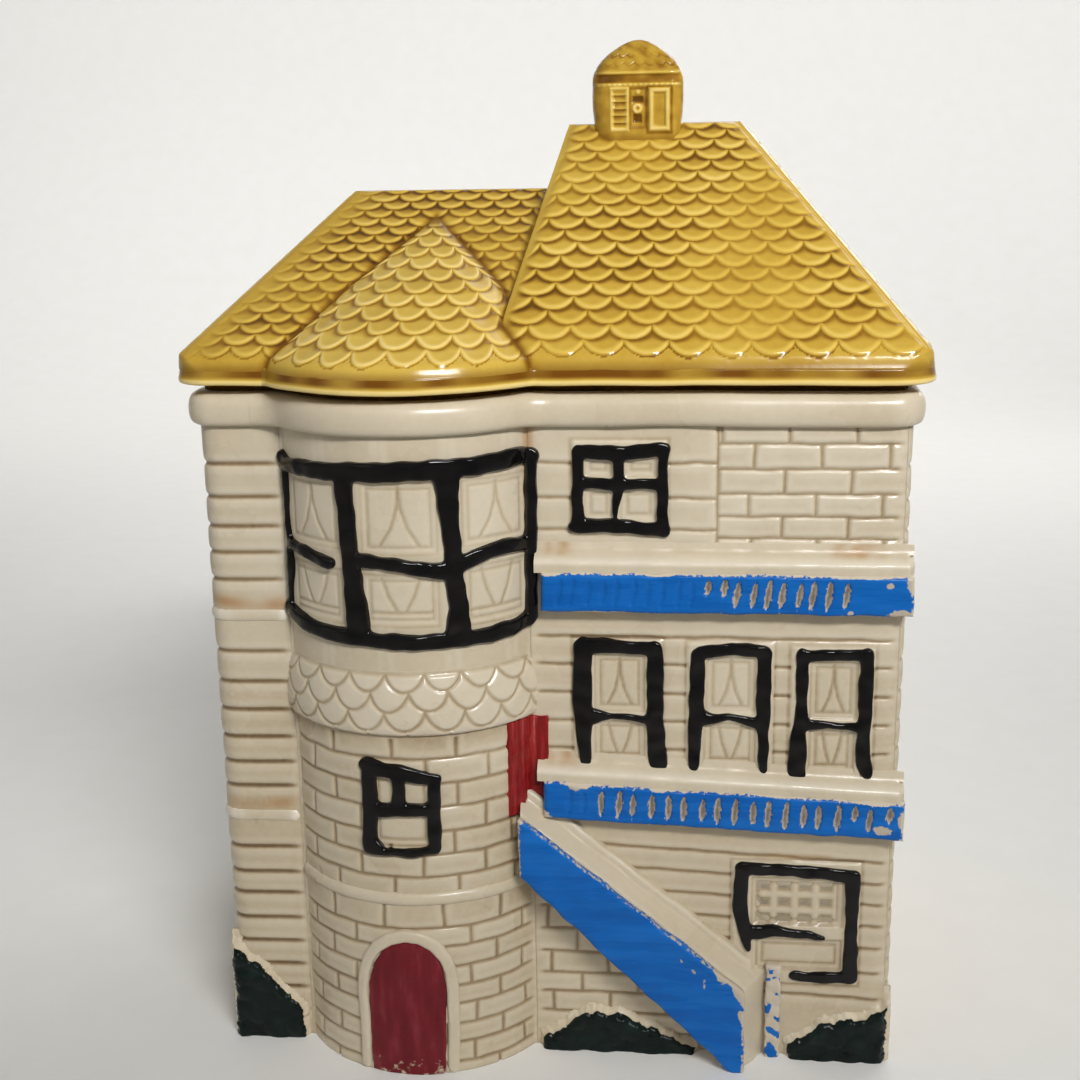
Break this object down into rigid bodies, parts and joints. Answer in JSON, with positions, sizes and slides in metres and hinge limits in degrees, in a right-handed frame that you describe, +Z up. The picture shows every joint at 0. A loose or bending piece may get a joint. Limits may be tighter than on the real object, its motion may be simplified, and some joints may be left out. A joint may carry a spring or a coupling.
{
  "type": "house-shaped lidded jar",
  "caption": "House-shaped glazed earthenware jar with a round tower, relief windows, balconies and a stair; the tiled roof with its cupola lifts off as the lid.",
  "frame": {"origin": "centre of the bounding box's bottom, on the surface that the jar stands on", "axes": "+Z up, -Y towards the front with the tower, +X to the right seen from the front"},
  "size_m": [0.202, 0.1602, 0.285],
  "materials": {
    "cream_glaze": "clear gloss glaze over a cream body, tan in the grooves",
    "black_glaze": "thick hand-brushed gloss black",
    "blue_glaze": "hand-brushed gloss blue, worn at the edges",
    "red_glaze": "thin brushed red",
    "maroon_glaze": "brushed maroon",
    "green_glaze": "hand-brushed dark green, bare at the lobes",
    "honey_glaze": "amber gloss glaze, brown in the grooves"
  },
  "bodies": {
    "jar": {"jar_shell": "cream_glaze", "rim_roll": "cream_glaze", "bay_skirt": "cream_glaze", "tower_string_course": "cream_glaze", "tower_door_arch": "cream_glaze", "upper_ledge": "cream_glaze", "lower_ledge": "cream_glaze", "stair_ramp": "cream_glaze", "upper_band": "cream_glaze", "lower_band": "cream_glaze", "bay_window_frame": "black_glaze", "tower_window_frame": "black_glaze", "attic_window_frame": "black_glaze", "left_french_frame": "black_glaze", "middle_french_frame": "black_glaze", "right_french_frame": "black_glaze", "garden_window_frame": "black_glaze", "upper_balcony": "blue_glaze", "lower_balcony": "blue_glaze", "stair_parapet": "blue_glaze", "newel_post": "blue_glaze", "terrace_door": "red_glaze", "tower_door": "maroon_glaze", "left_shrub": "green_glaze", "middle_shrub": "green_glaze", "right_shrub": "green_glaze"},
    "lid": {"roof_lid": "honey_glaze", "cupola_walls": "honey_glaze", "cupola_roof": "honey_glaze"}
  },
  "joints": [
    {"name": "lid_lift", "type": "slide", "parent": "jar", "child": "lid", "axis": [0, 0, 1], "range_m": [0, 0.12]}
  ]
}
